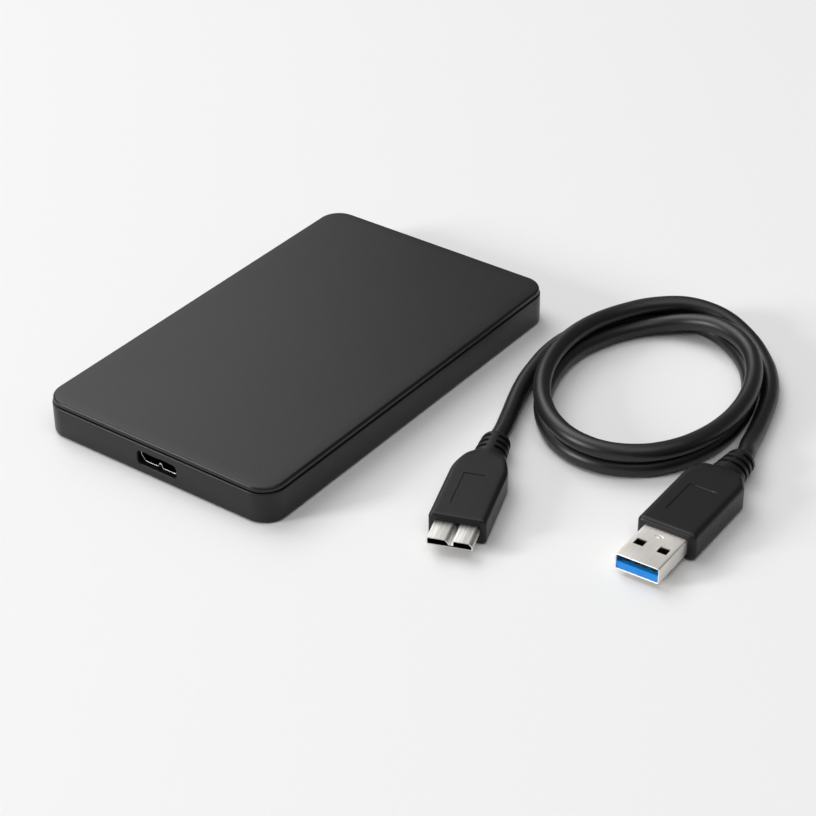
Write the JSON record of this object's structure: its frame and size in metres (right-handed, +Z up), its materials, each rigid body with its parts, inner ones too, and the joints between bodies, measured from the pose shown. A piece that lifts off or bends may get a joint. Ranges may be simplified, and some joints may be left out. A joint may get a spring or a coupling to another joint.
{
  "type": "external hard drive",
  "caption": "Slim pocket hard drive in a rounded two-piece case with a recessed port in its short side, and its own coiled lead lying beside it.",
  "frame": {"origin": "middle of the case's underside, on the table", "axes": "+Y along the case's long side, away from the port; +X along its short side; +Z up"},
  "size_m": [0.1677, 0.1466, 0.0108],
  "materials": {
    "case_plastic": "fine matt moulded texture, dark grey",
    "black_plastic": "moulded, black",
    "cable_jacket": "satin black extruded jacket",
    "plug_plastic": "matt moulded grip, black",
    "plug_steel": "nickel-plated folded steel",
    "blue_plastic": "moulded, bright blue",
    "gold_contacts": "gold-plated",
    "circuit_board": "dark solder mask",
    "chip_plastic": "moulded epoxy",
    "small_parts": "fired ceramic and tin",
    "screw_steel": "zinc-plated",
    "rubber_black": "soft, matt",
    "foam_grey": "closed-cell foam",
    "cast_aluminium": "as cast",
    "plain_steel": "pressed sheet",
    "disk_mirror": "mirror-smooth coated disk",
    "coil_copper": "wound enamelled wire",
    "magnet_metal": "nickel-plated magnet",
    "ramp_plastic": "moulded, ivory",
    "filter_cloth": "white filter pad"
  },
  "bodies": {
    "root": {"lid": "case_plastic", "tray": "case_plastic", "bridge_board": "circuit_board", "port_shell": "plug_steel", "port_tongues": "black_plastic", "port_contacts": "gold_contacts", "bridge_socket": "black_plastic", "bridge_chip": "chip_plastic", "bridge_small_parts": "small_parts", "bridge_screws": "screw_steel", "corner_bumpers": "rubber_black", "lower_foam_strips": "foam_grey", "upper_foam_strips": "foam_grey", "drive_casting": "cast_aluminium", "drive_cover": "plain_steel", "cover_screws": "screw_steel", "drive_connector": "black_plastic", "drive_board": "circuit_board", "drive_board_chips": "chip_plastic", "drive_board_screws": "screw_steel", "spindle_motor": "plain_steel", "pivot_post": "plain_steel", "magnet_yokes": "plain_steel", "coil_magnets": "magnet_metal", "parking_ramp": "ramp_plastic", "air_filter": "filter_cloth", "lead_cable": "cable_jacket", "drive_plug_body": "plug_plastic", "drive_plug_tip": "plug_steel", "drive_plug_insert": "black_plastic", "computer_plug_body": "plug_plastic", "computer_plug_shell": "plug_steel", "computer_plug_tongue": "blue_plastic", "computer_plug_contacts": "gold_contacts"},
    "disk_stack": {"spindle_hub": "plain_steel", "disk": "disk_mirror", "disk_clamp": "plain_steel"},
    "head_stack": {"head_arm": "cast_aluminium", "voice_coil": "coil_copper", "read_heads": "chip_plastic"}
  },
  "joints": [
    {"name": "disk_spin", "type": "hinge", "parent": "root", "child": "disk_stack", "pos_m": [0, 0.02473, 0.006], "axis": [0, 0, 1], "continuous": true},
    {"name": "head_swing", "type": "hinge", "parent": "root", "child": "head_stack", "pos_m": [0.01, -0.01558, 0.006], "axis": [0, 0, -1], "range_deg": [0, 30]}
  ]
}
